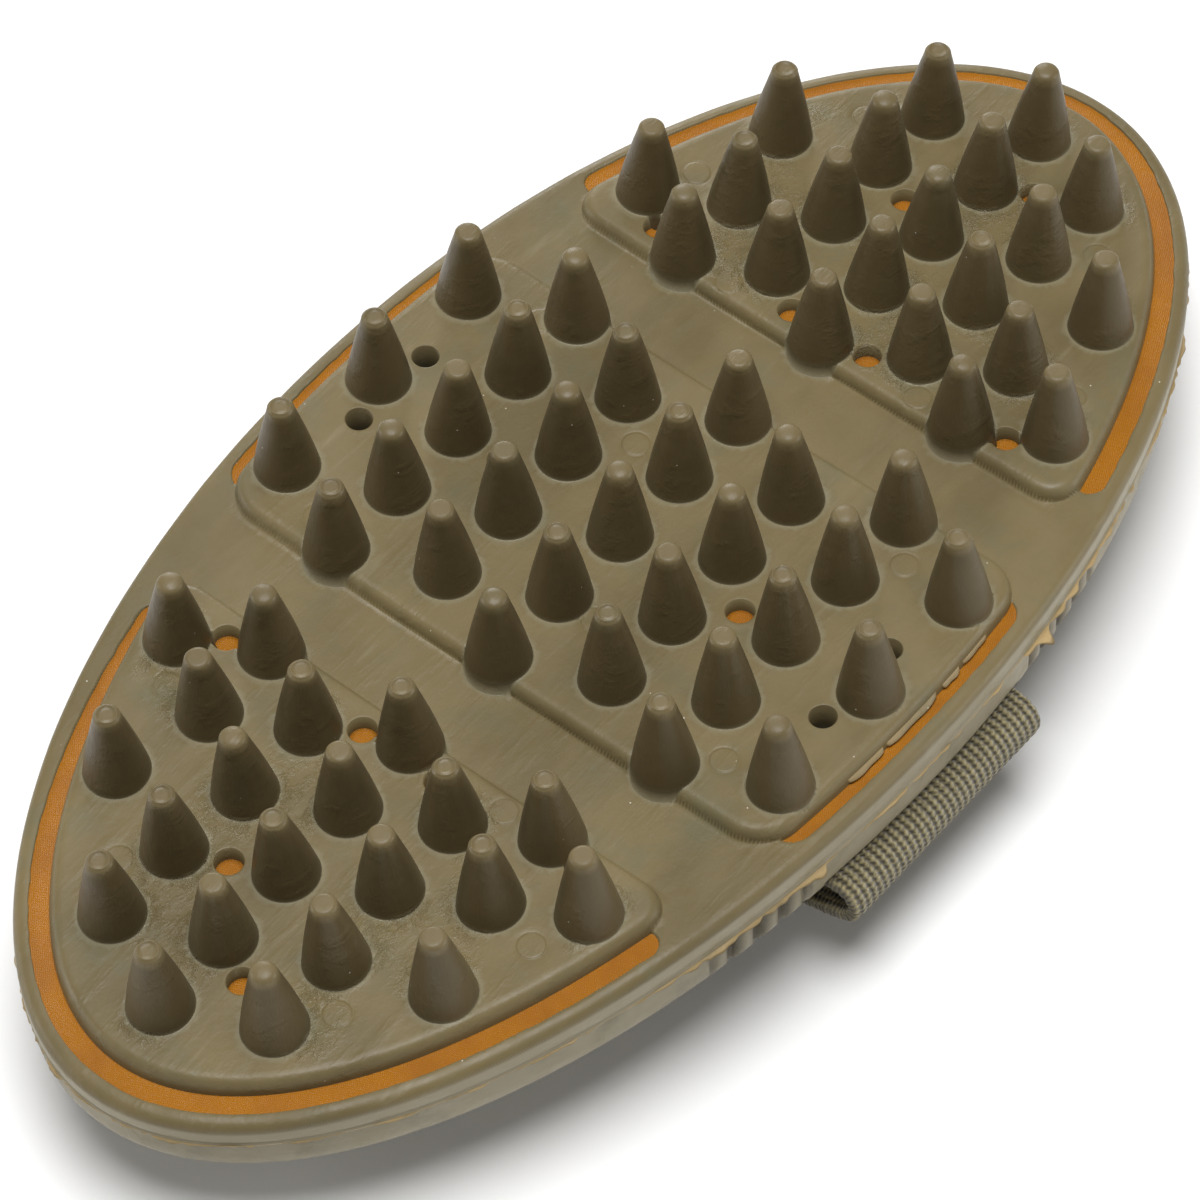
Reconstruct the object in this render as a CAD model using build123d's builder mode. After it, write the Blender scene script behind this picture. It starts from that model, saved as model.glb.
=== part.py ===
from build123d import *
import math
import os

# Oval rubber curry brush: a rubber face with 71 massage teeth on three raised pads, a rigid
# orange core that shows in the stripes and pin holes, a rubber back and an elastic hand strap.
# Millimetres. +Z points out of the teeth, X is the short axis, Y the long axis. The origin is
# under the centre, where the slack hand strap touches the table.

# ---- driving dimensions ------------------------------------------------------------------
half_width = 41.8             # outer oval, short semi-axis
half_length = 84.3            # outer oval, long semi-axis
crown_radius = 1000.0         # the face bends down towards its two ends
cup_radius = 950.0            # and up a little towards its long sides
dome_radius = 400.0           # the underside bows across the hand
crown_sweep = 11.0            # degrees of crown that cover the whole length
slab_reach = 48.0             # half-width of the crowned slabs, outside the oval

pad_top = 24.0                # top of the pads at the centre
pad_height = 1.7              # pads above the channels and the rim
stripe_depth = 0.25           # core stripe below the rim
channel_skin = 2.0            # rubber over the core in the channels
core_thickness = 2.2
parting_drop = 4.9            # seam of the two rubber mouldings, below the pad top
body_depth = 15.0             # pad top to underside
back_inset = 0.3              # back moulding inside the face moulding at the seam
back_edge_radius = 4.5
rim_radius = 1.2

lip_width = 1.7               # rim outside the core
end_stripe_width = 2.4
middle_stripe_width = 1.5
middle_pad_half_length = 22.2
end_pad_start = 32.1
pad_corner_radius = 4.5
pad_edge_radius = 0.9
middle_stripe_half_length = 19.5
end_stripe_start = 36.0
stripe_corner_radius = 1.0
plateau_hidden_start = 33.5   # the end plateau starts here, under the pad
plateau_hidden_inset = 6.5

tooth_radius = 3.62
tooth_height = 10.9
tooth_bulge = 0.12            # flank outside the straight cone, at mid height
tooth_tip_radius = 1.48
tooth_tip_rise = 0.65         # rounding between flank and tip disc
tooth_tip_flat = 1.0
tooth_root = 1.9              # foot of the tooth below the pad top

pin_hole_radius = 1.7
rivet_x = 31.7
rivet_y = 5.5
rivet_hole_radius = 1.55      # sight hole down to the rivet
rivet_radius = 1.2
rivet_bore_radius = 0.6
rivet_bore_depth = 2.0
rivet_seat_depth = 0.6        # shelf in the core under the rolled tail
rivet_tail_radius = 1.5
rivet_tail_height = 0.6
rivet_head_radius = 2.2
rivet_head_height = 0.6

strap_width = 32.0
strap_thickness = 1.7
strap_exit_top = 14.5         # top face of the webbing where it leaves the body
strap_exit_x = 41.05
strap_turn_radius = 2.3       # centre line of the webbing round its outward turn
strap_slope = 18.0            # degrees below level, from the turn down to the flat
strap_flat_bend = 30.0        # from the slope into the flat
strap_tail_start = 24.5       # inner end of the clamped tail
strap_joint_gap = 0.3         # between the clamped tail and the stretching band
clamp_length = 13.0           # clamp bar along X
clamp_width = 29.0            # and along Y
clamp_thickness = 1.0
clamp_corner_radius = 2.0

rib_count = 4                 # finger ribs beside the strap, at each corner of the hand gap
rib_first_y = 20.4
rib_pitch = 3.5
rib_radius = 1.55
rib_recess = 1.3
rib_crest = 0.05              # the wall cuts this much off the crest of each rib

# ---- derived levels, all at the centre of the face ---------------------------------------
rim_top = pad_top - pad_height
stripe_top = rim_top - stripe_depth
core_top = rim_top - channel_skin
core_bottom = core_top - core_thickness
parting = pad_top - parting_drop
underside = pad_top - body_depth
strap_exit_bottom = strap_exit_top - strap_thickness
clamp_bottom = strap_exit_bottom - clamp_thickness
rivet_seat = core_bottom + rivet_seat_depth
crown_axis = Axis((0, 0, pad_top - crown_radius), (1, 0, 0))

# ---- layout of teeth, pin holes and rivets -----------------------------------------------
long_pitch = 10.0
column_pitch = 11.22
middle_columns = ((-2, -1, 0, 1, 2), (-1.5, -0.5, 0.5, 1.5), (-2, -1, 0, 1, 2), (-1.5, 0, 1.5))
end_axis_rows = (34.2, 44.1, 53.8, 63.6, 73.3)
end_side_rows = (
    (9.85, 39.06), (9.85, 48.98), (11.03, 58.72), (11.03, 68.3),
    (19.15, 34.2), (19.15, 44.05), (22.2, 55.1), (28.06, 39.12),
)
end_pins = ((-24.0, 35.8), (-5.2, 35.8), (5.2, 35.8), (24.0, 35.8), (-5.6, 56.4), (4.8, 66.3))
middle_pins = ((-16.3, 0.0), (16.3, 0.0))


def middle_tooth_places():
    """Staggered columns that get shorter towards the long sides."""
    places = []
    for column in range(-3, 4):
        places += [(column * column_pitch, step * long_pitch) for step in middle_columns[abs(column)]]
    return places


def end_tooth_places(end):
    """Teeth of the end pad on the end (+1 or -1) side."""
    places = [(0, end * y) for y in end_axis_rows]
    for side in (1, -1):
        places += [(side * x, end * y) for x, y in end_side_rows]
    return places


rivet_places = [(side * rivet_x, end * rivet_y) for side in (1, -1) for end in (1, -1)]


def tooth_plane(x, y):
    """Plane on the pad surface at (x, y), square to the surface."""
    height = pad_top + x * x / (2 * cup_radius) - y * y / (2 * crown_radius)
    return Plane(origin=(x, y, height), z_dir=(-x / cup_radius, y / crown_radius, 1))


# ---- shared shapes -----------------------------------------------------------------------
def cross_edge(radius_from_axis, bow):
    """Edge across the width: straight, or an arc of radius bow that rises to the sides."""
    if bow is None:
        return Line((-slab_reach, radius_from_axis), (slab_reach, radius_from_axis))
    rise = bow - math.sqrt(bow ** 2 - slab_reach ** 2)
    side = radius_from_axis + rise
    return ThreePointArc((-slab_reach, side), (0, radius_from_axis), (slab_reach, side))


def crowned_slab(low, high, low_bow=None, high_bow=None):
    """Slab between two levels that follows the crown along Y and the given bows along X."""
    tilt = math.radians(crown_sweep / 2)
    start = Plane(crown_axis.position, x_dir=(1, 0, 0), z_dir=(0, -math.cos(tilt), math.sin(tilt)))
    with BuildPart() as slab:
        with BuildSketch(start):
            with BuildLine():
                floor = cross_edge(low + crown_radius - pad_top, low_bow)
                roof = cross_edge(high + crown_radius - pad_top, high_bow)
                Line(floor @ 0, roof @ 0)
                Line(floor @ 1, roof @ 1)
            make_face()
        revolve(axis=crown_axis, revolution_arc=crown_sweep)
    return slab.part


def oval_prism(inset):
    """Upright prism on the outer oval, drawn in by inset."""
    with BuildPart() as prism:
        with BuildSketch():
            Ellipse(half_width - inset, half_length - inset)
        extrude(amount=2 * pad_top)
    return prism.part


def pad_prism(inset, y_low, y_high, corner_radius):
    """Upright prism of one pad: the drawn-in oval between two straight ends."""
    with BuildPart() as prism:
        with BuildSketch():
            Ellipse(half_width - inset, half_length - inset)
            with Locations((0, (y_low + y_high) / 2)):
                Rectangle(4 * half_width, y_high - y_low, mode=Mode.INTERSECT)
        extrude(amount=2 * pad_top)
        corners = prism.edges().filter_by(Axis.Z)
        fillet(corners.filter_by(lambda edge: abs(edge.center().X) > 1), radius=corner_radius)
    return prism.part


def end_span(end, start):
    """The Y range of one end pad, as (low, high)."""
    far = half_length + 10
    return (start, far) if end > 0 else (-far, -start)


def post(x, y, radius, low, high):
    """Upright cylinder."""
    with BuildPart() as cylinder:
        with BuildSketch(Plane.XY.offset(low)):
            with Locations((x, y)):
                Circle(radius)
        extrude(amount=high - low)
    return cylinder.part


# ---- orange core -------------------------------------------------------------------------
def core_slab():
    """Base plate of the core."""
    with BuildPart() as slab:
        add(crowned_slab(core_bottom, core_top))
        add(oval_prism(lip_width), mode=Mode.INTERSECT)
    return slab.part


def plateau(inset, span, corner_radius):
    """Raised part of the core under a pad; its margin shows as the stripe."""
    with BuildPart() as raised:
        add(pad_prism(inset, *span, corner_radius))
        add(crowned_slab(core_bottom + 0.5, stripe_top, high_bow=cup_radius), mode=Mode.INTERSECT)
    return raised.part


def strap_anchor(side):
    """Block under the core that a strap tail is riveted to."""
    with BuildPart() as block:
        with BuildSketch(Plane.XY.offset(strap_exit_top)):
            with Locations((side * rivet_x, 0)):
                Rectangle(clamp_length, clamp_width)
        extrude(amount=core_bottom + 0.5 - strap_exit_top)
    return block.part


middle_stripe_span = (-middle_stripe_half_length, middle_stripe_half_length)
with BuildPart() as core_plate:
    add(core_slab())
    add(plateau(lip_width, middle_stripe_span, stripe_corner_radius))
    for end in (1, -1):
        add(plateau(lip_width, end_span(end, end_stripe_start), stripe_corner_radius))
        add(plateau(plateau_hidden_inset, end_span(end, plateau_hidden_start), stripe_corner_radius))
    for side in (1, -1):
        add(strap_anchor(side))
    for x, y in rivet_places:
        add(post(x, y, rivet_radius, strap_exit_top - 1, rivet_seat), mode=Mode.SUBTRACT)
        add(post(x, y, rivet_hole_radius, rivet_seat, pad_top), mode=Mode.SUBTRACT)
core_plate.part.label = "core_plate"


# ---- rubber face -------------------------------------------------------------------------
def massage_tooth():
    """One tooth, standing on Z = 0, with a foot that reaches down to the channel."""
    shoulder = tooth_height - tooth_tip_rise
    flank_middle = ((tooth_radius + tooth_tip_radius) / 2 + tooth_bulge, shoulder / 2)
    tip_middle = (tooth_tip_flat + 0.72 * (tooth_tip_radius - tooth_tip_flat), tooth_height - 0.22)
    with BuildPart() as tooth:
        with BuildSketch(Plane.XZ):
            with BuildLine():
                Polyline((0, tooth_height), (0, -tooth_root), (tooth_radius, -tooth_root), (tooth_radius, 0))
                ThreePointArc((tooth_radius, 0), flank_middle, (tooth_tip_radius, shoulder))
                ThreePointArc((tooth_tip_radius, shoulder), tip_middle, (tooth_tip_flat, tooth_height))
                Line((tooth_tip_flat, tooth_height), (0, tooth_height))
            make_face()
        revolve(axis=Axis.Z)
    return tooth.part


def toothed_pad(inset, span, teeth, pins, sights=()):
    """One pad above its plateau, with a rounded top edge, its teeth and the holes through it."""
    with BuildPart() as pad:
        add(pad_prism(inset, *span, pad_corner_radius))
        add(crowned_slab(stripe_top, pad_top, cup_radius, cup_radius), mode=Mode.INTERSECT)
        fillet(pad.faces().sort_by(Axis.Z)[-1].edges(), radius=pad_edge_radius)
        with Locations(*[tooth_plane(x, y) for x, y in teeth]):
            add(massage_tooth())
        for x, y in pins:
            add(post(x, y, pin_hole_radius, core_bottom, pad_top + 1), mode=Mode.SUBTRACT)
        for x, y in sights:
            add(post(x, y, rivet_hole_radius, core_bottom, pad_top + 1), mode=Mode.SUBTRACT)
    return pad.part


def face_rim():
    """Rim and channels round the pads, over the edge of the core, without the stripe slots."""
    with BuildPart() as rim:
        add(crowned_slab(parting, rim_top, high_bow=cup_radius))
        add(oval_prism(0), mode=Mode.INTERSECT)
        fillet(rim.faces().sort_by(Axis.Z)[-1].edges(), radius=rim_radius)
        add(core_slab(), mode=Mode.SUBTRACT)
        add(pad_prism(lip_width, *middle_stripe_span, stripe_corner_radius), mode=Mode.SUBTRACT)
        for end in (1, -1):
            shown = pad_prism(lip_width, *end_span(end, end_stripe_start), stripe_corner_radius)
            hidden = pad_prism(plateau_hidden_inset, *end_span(end, plateau_hidden_start), stripe_corner_radius)
            add(shown, mode=Mode.SUBTRACT)
            add(hidden, mode=Mode.SUBTRACT)
    return rim.part


middle_pad_span = (-middle_pad_half_length, middle_pad_half_length)
middle_inset = lip_width + middle_stripe_width
end_inset = lip_width + end_stripe_width
with BuildPart() as rubber_face:
    add(face_rim())
    add(toothed_pad(middle_inset, middle_pad_span, middle_tooth_places(), middle_pins, rivet_places))
    for end in (1, -1):
        pins = [(x, end * y) for x, y in end_pins]
        add(toothed_pad(end_inset, end_span(end, end_pad_start), end_tooth_places(end), pins))
rubber_face.part.label = "rubber_face"


# ---- strap fixing ------------------------------------------------------------------------
def strap_tail(side):
    """Clamped end of the webbing, inside the back, as far as its way out."""
    with BuildPart() as tail:
        with BuildSketch(Plane.XY.offset(strap_exit_bottom)):
            with Locations((side * (strap_tail_start + strap_exit_x) / 2, 0)):
                Rectangle(strap_exit_x - strap_tail_start, strap_width)
        extrude(amount=strap_thickness)
        for end in (1, -1):
            hole = post(side * rivet_x, end * rivet_y, rivet_radius, strap_exit_bottom, strap_exit_top)
            add(hole, mode=Mode.SUBTRACT)
    return tail.part


def clamp_bar(side):
    """Flat bar that spreads the rivets' pull over the webbing."""
    with BuildPart() as bar:
        with BuildSketch(Plane.XY.offset(clamp_bottom)):
            with Locations((side * rivet_x, 0)):
                RectangleRounded(clamp_length, clamp_width, clamp_corner_radius)
            with Locations(*[(side * rivet_x, end * rivet_y) for end in (1, -1)]):
                Circle(rivet_radius, mode=Mode.SUBTRACT)
        extrude(amount=clamp_thickness)
    return bar.part


def tubular_rivet(x, y):
    """Rivet from its head under the clamp bar to its rolled tail in the core."""
    tail_top = rivet_seat + rivet_tail_height
    with BuildPart() as rivet:
        add(post(x, y, rivet_head_radius, clamp_bottom - rivet_head_height, clamp_bottom))
        add(post(x, y, rivet_radius, clamp_bottom, rivet_seat))
        add(post(x, y, rivet_tail_radius, rivet_seat, tail_top))
        add(post(x, y, rivet_bore_radius, tail_top - rivet_bore_depth, tail_top), mode=Mode.SUBTRACT)
    return rivet.part


with BuildPart() as strap_tail_left:
    add(strap_tail(-1))
strap_tail_left.part.label = "strap_tail_left"

with BuildPart() as strap_tail_right:
    add(strap_tail(1))
strap_tail_right.part.label = "strap_tail_right"

with BuildPart() as clamp_bar_left:
    add(clamp_bar(-1))
clamp_bar_left.part.label = "clamp_bar_left"

with BuildPart() as clamp_bar_right:
    add(clamp_bar(1))
clamp_bar_right.part.label = "clamp_bar_right"

with BuildPart() as strap_rivets:
    for x, y in rivet_places:
        add(tubular_rivet(x, y))
strap_rivets.part.label = "strap_rivets"


# ---- rubber back -------------------------------------------------------------------------
def room_above_palm():
    """Everything above the underside, which bows across the hand and runs level along Y."""
    with BuildPart() as room:
        with BuildSketch(Plane.XZ):
            with BuildLine():
                floor = cross_edge(underside, dome_radius)
                roof = cross_edge(pad_top, None)
                Line(floor @ 0, roof @ 0)
                Line(floor @ 1, roof @ 1)
            make_face()
        extrude(amount=2 * half_length, both=True)
    return room.part


def back_blank():
    """Back moulding before its ribs: the oval down from the seam, rounded under."""
    with BuildPart() as blank:
        add(crowned_slab(underside - back_edge_radius, parting))
        add(room_above_palm(), mode=Mode.INTERSECT)
        add(oval_prism(back_inset), mode=Mode.INTERSECT)
        fillet(blank.faces().sort_by(Axis.Z)[0].edges(), radius=back_edge_radius)
    return blank.part


def strap_pocket(side):
    """Room for a strap tail, out through the side wall."""
    with BuildPart() as pocket:
        with BuildSketch(Plane.XY.offset(strap_exit_bottom)):
            with Locations((side * (strap_tail_start + half_width) / 2, 0)):
                Rectangle(half_width - strap_tail_start, strap_width)
        extrude(amount=strap_thickness)
    return pocket.part


def clamp_pocket(side):
    """Room for a clamp bar."""
    with BuildPart() as pocket:
        with BuildSketch(Plane.XY.offset(clamp_bottom)):
            with Locations((side * rivet_x, 0)):
                RectangleRounded(clamp_length, clamp_width, clamp_corner_radius)
        extrude(amount=clamp_thickness)
    return pocket.part


def rib_valleys():
    """Upright cutters for the side wall that leave the finger ribs standing."""
    length = rib_count * rib_pitch
    middle = rib_first_y + (rib_count - 1) * rib_pitch / 2
    inset = back_inset + rib_radius - rib_crest
    rows = [rib_first_y + index * rib_pitch for index in range(rib_count)]
    reach = [(half_width - inset) * math.sqrt(1 - (y / (half_length - inset)) ** 2) for y in rows]
    signs = [(side, end) for side in (1, -1) for end in (1, -1)]
    with BuildPart() as valleys:
        with BuildSketch():
            with Locations(*[(side * half_width, end * middle) for side, end in signs]):
                Rectangle(half_width, length)
            valley_floor = back_inset + rib_recess
            Ellipse(half_width - valley_floor, half_length - valley_floor, mode=Mode.SUBTRACT)
            with Locations(*[(side * x, end * y) for x, y in zip(reach, rows) for side, end in signs]):
                Circle(rib_radius, mode=Mode.SUBTRACT)
        extrude(amount=2 * pad_top)
    return valleys.part


with BuildPart() as rubber_back:
    add(back_blank())
    add(rib_valleys(), mode=Mode.SUBTRACT)
    add(core_slab(), mode=Mode.SUBTRACT)
    for side in (1, -1):
        add(strap_anchor(side), mode=Mode.SUBTRACT)
        add(strap_pocket(side), mode=Mode.SUBTRACT)
        add(clamp_pocket(side), mode=Mode.SUBTRACT)
    for x, y in rivet_places:
        head = post(x, y, rivet_head_radius, clamp_bottom - rivet_head_height, strap_exit_bottom)
        add(head, mode=Mode.SUBTRACT)
rubber_back.part.label = "rubber_back"


# ---- hand strap --------------------------------------------------------------------------
with BuildPart() as hand_strap:
    start_x = strap_exit_x + strap_joint_gap
    start_z = strap_exit_top - strap_thickness / 2
    flat_z = strap_thickness / 2
    turn = 180 - strap_slope
    turn_x = start_x + strap_turn_radius * math.sin(math.radians(turn))
    turn_z = start_z - strap_turn_radius * (1 - math.cos(math.radians(turn)))
    flat_x = turn_x - (turn_z - flat_z) / math.tan(math.radians(strap_slope))
    with BuildLine(Plane.XZ) as strap_path:
        CenterArc((start_x, start_z - strap_turn_radius), strap_turn_radius, 90, -turn)
        FilletPolyline(
            (turn_x, turn_z), (flat_x, flat_z), (-flat_x, flat_z), (-turn_x, turn_z), radius=strap_flat_bend
        )
        CenterArc((-start_x, start_z - strap_turn_radius), strap_turn_radius, 90 + turn, -turn)
    with BuildSketch(Plane((start_x, 0, start_z), x_dir=(0, 1, 0), z_dir=(1, 0, 0))):
        Rectangle(strap_width, strap_thickness)
    sweep()
hand_strap.part.label = "hand_strap"

pieces = (
    rubber_face, core_plate, rubber_back, strap_tail_left, strap_tail_right,
    clamp_bar_left, clamp_bar_right, strap_rivets, hand_strap,
)
os.makedirs("parts", exist_ok=True)
for piece in pieces:
    export_step(piece.part, f"parts/{piece.part.label}.step")
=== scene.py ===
import math

import bpy
import numpy as np
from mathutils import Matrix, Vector
from mathutils.geometry import delaunay_2d_cdt


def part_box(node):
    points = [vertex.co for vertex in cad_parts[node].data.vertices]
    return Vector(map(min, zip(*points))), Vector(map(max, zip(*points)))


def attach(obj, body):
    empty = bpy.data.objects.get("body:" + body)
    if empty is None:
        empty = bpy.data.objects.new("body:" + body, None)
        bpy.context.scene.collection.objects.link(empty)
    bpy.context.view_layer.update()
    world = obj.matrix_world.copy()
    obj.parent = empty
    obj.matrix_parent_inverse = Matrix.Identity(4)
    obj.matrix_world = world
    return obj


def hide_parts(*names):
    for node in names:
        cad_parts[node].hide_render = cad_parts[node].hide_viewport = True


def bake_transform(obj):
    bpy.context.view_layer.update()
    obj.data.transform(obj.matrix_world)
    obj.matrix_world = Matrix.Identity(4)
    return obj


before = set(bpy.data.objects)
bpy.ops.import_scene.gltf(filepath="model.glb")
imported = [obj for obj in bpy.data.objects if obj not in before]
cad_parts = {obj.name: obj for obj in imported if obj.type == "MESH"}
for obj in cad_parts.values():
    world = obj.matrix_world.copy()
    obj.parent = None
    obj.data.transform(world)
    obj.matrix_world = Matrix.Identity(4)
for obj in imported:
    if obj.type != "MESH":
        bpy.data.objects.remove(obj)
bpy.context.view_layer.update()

# Oval rubber curry brush, teeth up: rubber face, orange core, rubber back and elastic hand strap.
# Shapes are worked out in millimetres in the frame of the CAD model, and made in metres.
MM = 0.001
FULL_TURN = 2 * math.pi
rng = np.random.default_rng(11)

# ---- sizes --------------------------------------------------------------------------------
HALF_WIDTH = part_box("rubber_face")[1].x / MM
HALF_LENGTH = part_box("rubber_face")[1].y / MM
CROWN_RADIUS = 1000.0         # the face bends down towards its ends
CUP_RADIUS = 950.0            # and up towards its long sides
DOME_RADIUS = 400.0           # the underside bows across the hand
PAD_TOP = 24.0
PAD_HEIGHT = 1.7
RIM_TOP = PAD_TOP - PAD_HEIGHT
SEAM = 19.1
UNDERSIDE = 9.0
LIP_WIDTH = 1.7
RIM_RADIUS = 1.2
END_INSET = LIP_WIDTH + 2.4
MIDDLE_INSET = LIP_WIDTH + 1.5
MIDDLE_PAD_HALF = 22.2
END_PAD_START = 32.1
PAD_CORNER = 4.5
PAD_EDGE = 1.15
PAD_BULGE = 1.9               # power of the rounded pad edge: 2 is a quarter circle
STRIPE_CORNER = 2.2
MIDDLE_STRIPE_HALF = 19.5
END_STRIPE_START = 36.0
STRIPE_NIBBLE = 0.035
STRIPE_LIP = 0.05
WIDER_RIM = 1.35              # the rim covers this much more at the start of one stripe
SLOT_WALL = 0.12
SLOT_FLOOR = RIM_TOP - 0.7
SIGHT_FLOOR = 19.7
SURFACE_WAVE = 0.035
TOOTH_RADIUS = 3.62
EJECTOR_RADIUS = 1.65
PIN_RADIUS = 1.6
SIGHT_RADIUS = 1.48

END_ROWS = (34.2, 44.1, 53.8, 63.6, 73.3)
END_SIDES = (
    (9.85, 39.06), (9.85, 48.98), (11.03, 58.72), (11.03, 68.3),
    (19.15, 34.2), (19.15, 44.05), (22.2, 55.1), (28.06, 39.12),
)
COLUMN_PITCH = 11.22
ROW_PITCH = 10.0
MIDDLE_COLUMNS = ((-2, -1, 0, 1, 2), (-1.5, -0.5, 0.5, 1.5), (-2, -1, 0, 1, 2), (-1.5, 0, 1.5))
END_PINS = ((-24.0, 35.8), (-5.2, 35.8), (5.2, 35.8), (24.0, 35.8), (-5.6, 56.4), (4.8, 66.3))
MIDDLE_PINS = [(-16.3, 0.0), (16.3, 0.0)]


def tooth_places():
    places = []
    for column in range(-3, 4):
        steps = MIDDLE_COLUMNS[abs(column)]
        places += [(column * COLUMN_PITCH, step * ROW_PITCH) for step in steps]
    for end in (1, -1):
        places += [(0, end * y) for y in END_ROWS]
        for side in (1, -1):
            places += [(side * x, end * y) for x, y in END_SIDES]
    return np.array(places)


TEETH = tooth_places()
PINS = [(x, end * y) for end in (1, -1) for x, y in END_PINS] + MIDDLE_PINS
SIGHTS = [(side * 31.7, end * 5.5) for side in (1, -1) for end in (1, -1)]
EJECTORS = (
    (-25.0, -44.0), (-14.9, -63.0), (15.1, -63.4), (13.0, -34.6), (25.7, -45.5), (27.0, -16.0),
    (-26.8, -18.0), (-25.4, 17.3), (-6.5, 10.6), (26.1, 15.4), (-25.7, 44.7), (-13.0, 34.6),
    (13.0, 34.6), (-16.6, 63.6), (15.6, 63.4), (5.0, -10.2), (25.9, 45.0),
)
# places, hole radius, radius and height of the swollen edge, floor of the hole
HOLES = (
    (PINS, PIN_RADIUS, 1.85, 0.06, SLOT_FLOOR),
    (SIGHTS, SIGHT_RADIUS, 1.7, 0.05, SIGHT_FLOOR),
)
# inset from the oval, then the two straight ends along Y; PAST_END is outside the oval
PAST_END = HALF_LENGTH + 30
PADS = [
    (MIDDLE_INSET, -MIDDLE_PAD_HALF, MIDDLE_PAD_HALF),
    (END_INSET, END_PAD_START, PAST_END),
    (END_INSET, -PAST_END, -END_PAD_START),
]
STRIPES = [
    (LIP_WIDTH, -MIDDLE_STRIPE_HALF, MIDDLE_STRIPE_HALF),
    (LIP_WIDTH, END_STRIPE_START, PAST_END),
    (LIP_WIDTH, -PAST_END, -END_STRIPE_START),
]
PAD_CENTRES = [(0, 0), (0, 56), (0, -56)]


# ---- shape functions ----------------------------------------------------------------------
def saddle(x, y):
    """Height of the crowned and cupped face over its centre."""
    return x * x / (2 * CUP_RADIUS) - y * y / (2 * CROWN_RADIUS)


def seam_height(y):
    return SEAM - y * y / (2 * CROWN_RADIUS)


def underside_height(x):
    return UNDERSIDE + x * x / (2 * DOME_RADIUS)


def bell(value, centre, width):
    return np.exp(-((value - centre) / width) ** 2)


def smooth_noise(x, y, scale, seed, octaves=3):
    """Sum of a few random waves, about -1 to 1."""
    waves = np.random.default_rng(seed)
    total = np.zeros_like(x)
    for _ in range(6 * octaves):
        angle, phase = waves.uniform(0, FULL_TURN, 2)
        length = scale * waves.uniform(0.5, 1.6)
        along = x * math.cos(angle) + y * math.sin(angle)
        total += np.sin(FULL_TURN * along / length + phase)
    return total / math.sqrt(6 * octaves)


def noise_along(t, scale, seed):
    """Smooth noise of one coordinate."""
    return smooth_noise(t, np.zeros_like(t), scale, seed)


def inside_oval(x, y, inset):
    """Distance inside the drawn-in oval, negative outside."""
    a, b = HALF_WIDTH - inset, HALF_LENGTH - inset
    e = np.hypot(x / a, y / b)
    slope = np.hypot(x / a ** 2, y / b ** 2) / np.maximum(e, 1e-6)
    return (1 - e) / np.maximum(slope, 1e-6)


def rounded(first, second, radius):
    """Distance inside two edges whose corner is rounded."""
    near = (first < radius) & (second < radius)
    corner = radius - np.hypot(radius - first, radius - second)
    return np.where(near, corner, np.minimum(first, second))


def inside_block(x, y, inset, low, high, corner):
    """Distance inside the oval between two straight edges, with rounded corners."""
    oval = inside_oval(x, y, inset)
    return rounded(rounded(oval, y - low, corner), high - y, corner)


def inside_pads(x, y):
    return np.max([inside_block(x, y, *pad, PAD_CORNER) for pad in PADS], axis=0)


def inside_stripe(x, y, stripe):
    """Distance inside one stripe: a nibbled edge, and one tapered start where the rim is wider."""
    inset, low, high = stripe
    nibble = STRIPE_NIBBLE * (1 + smooth_noise(x, y, 3.0, 5))
    wider = (x < 0) * np.clip((y + 66) / 30, 0, 1) * (y < -MIDDLE_PAD_HALF)
    block = inside_block(x, y, inset + WIDER_RIM * wider, low, high, STRIPE_CORNER)
    return block - np.maximum(nibble, 0)


def inside_stripes(x, y):
    """Distance inside the slots that show the core."""
    cores = np.max([inside_stripe(x, y, stripe) for stripe in STRIPES], axis=0)
    return np.minimum(cores, -inside_pads(x, y) + 0.02)


def add_marks(height, x, y):
    """The height with ejector rings, and with pin and sight holes that have a swollen edge."""
    for px, py in EJECTORS:
        r = np.hypot(x - px, y - py)
        height = height - (0.07 * bell(r, EJECTOR_RADIUS, 0.12) - 0.04 * (r < 1.55))
    for places, radius, edge_radius, swell, floor in HOLES:
        for px, py in places:
            r = np.hypot(x - px, y - py)
            height = height + swell * bell(r, edge_radius, 0.2)
            height = np.where(r < radius, floor, height)
    return height


def face_height(x, y):
    """Height of the rubber face, without its teeth."""
    pad, stripe = inside_pads(x, y), inside_stripes(x, y)
    rise = np.clip(pad / PAD_EDGE, 0, 1)
    profile = (1 - (1 - rise) ** PAD_BULGE) ** (1 / PAD_BULGE)
    height = RIM_TOP + PAD_HEIGHT * profile
    bend = np.clip(1 - inside_oval(x, y, 0) / RIM_RADIUS, 0, 1)
    height -= RIM_RADIUS * (1 - np.sqrt(np.maximum(1 - bend ** 2, 0)))
    slot = np.clip(stripe / SLOT_WALL, 0, 1)
    height = height * (1 - slot) + SLOT_FLOOR * slot
    height += STRIPE_LIP * bell(stripe, -0.25, 0.22) * (pad < 0)
    height = add_marks(height, x, y)
    height += SURFACE_WAVE * smooth_noise(x, y, 14, 3) * (slot < 0.5)
    return height + saddle(x, y)


# ---- plan points of the face --------------------------------------------------------------
OVAL_COUNT = 1280


def even_oval_angles(count):
    """Angles that spread points evenly along the oval."""
    t = np.linspace(0, FULL_TURN, 20001)
    speed = np.hypot(HALF_WIDTH * np.sin(t), HALF_LENGTH * np.cos(t))
    length = np.concatenate([[0], np.cumsum((speed[1:] + speed[:-1]) / 2 * np.diff(t))])
    return np.interp(np.arange(count) / count * length[-1], length, t)


OVAL_ANGLES = even_oval_angles(OVAL_COUNT)


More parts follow.
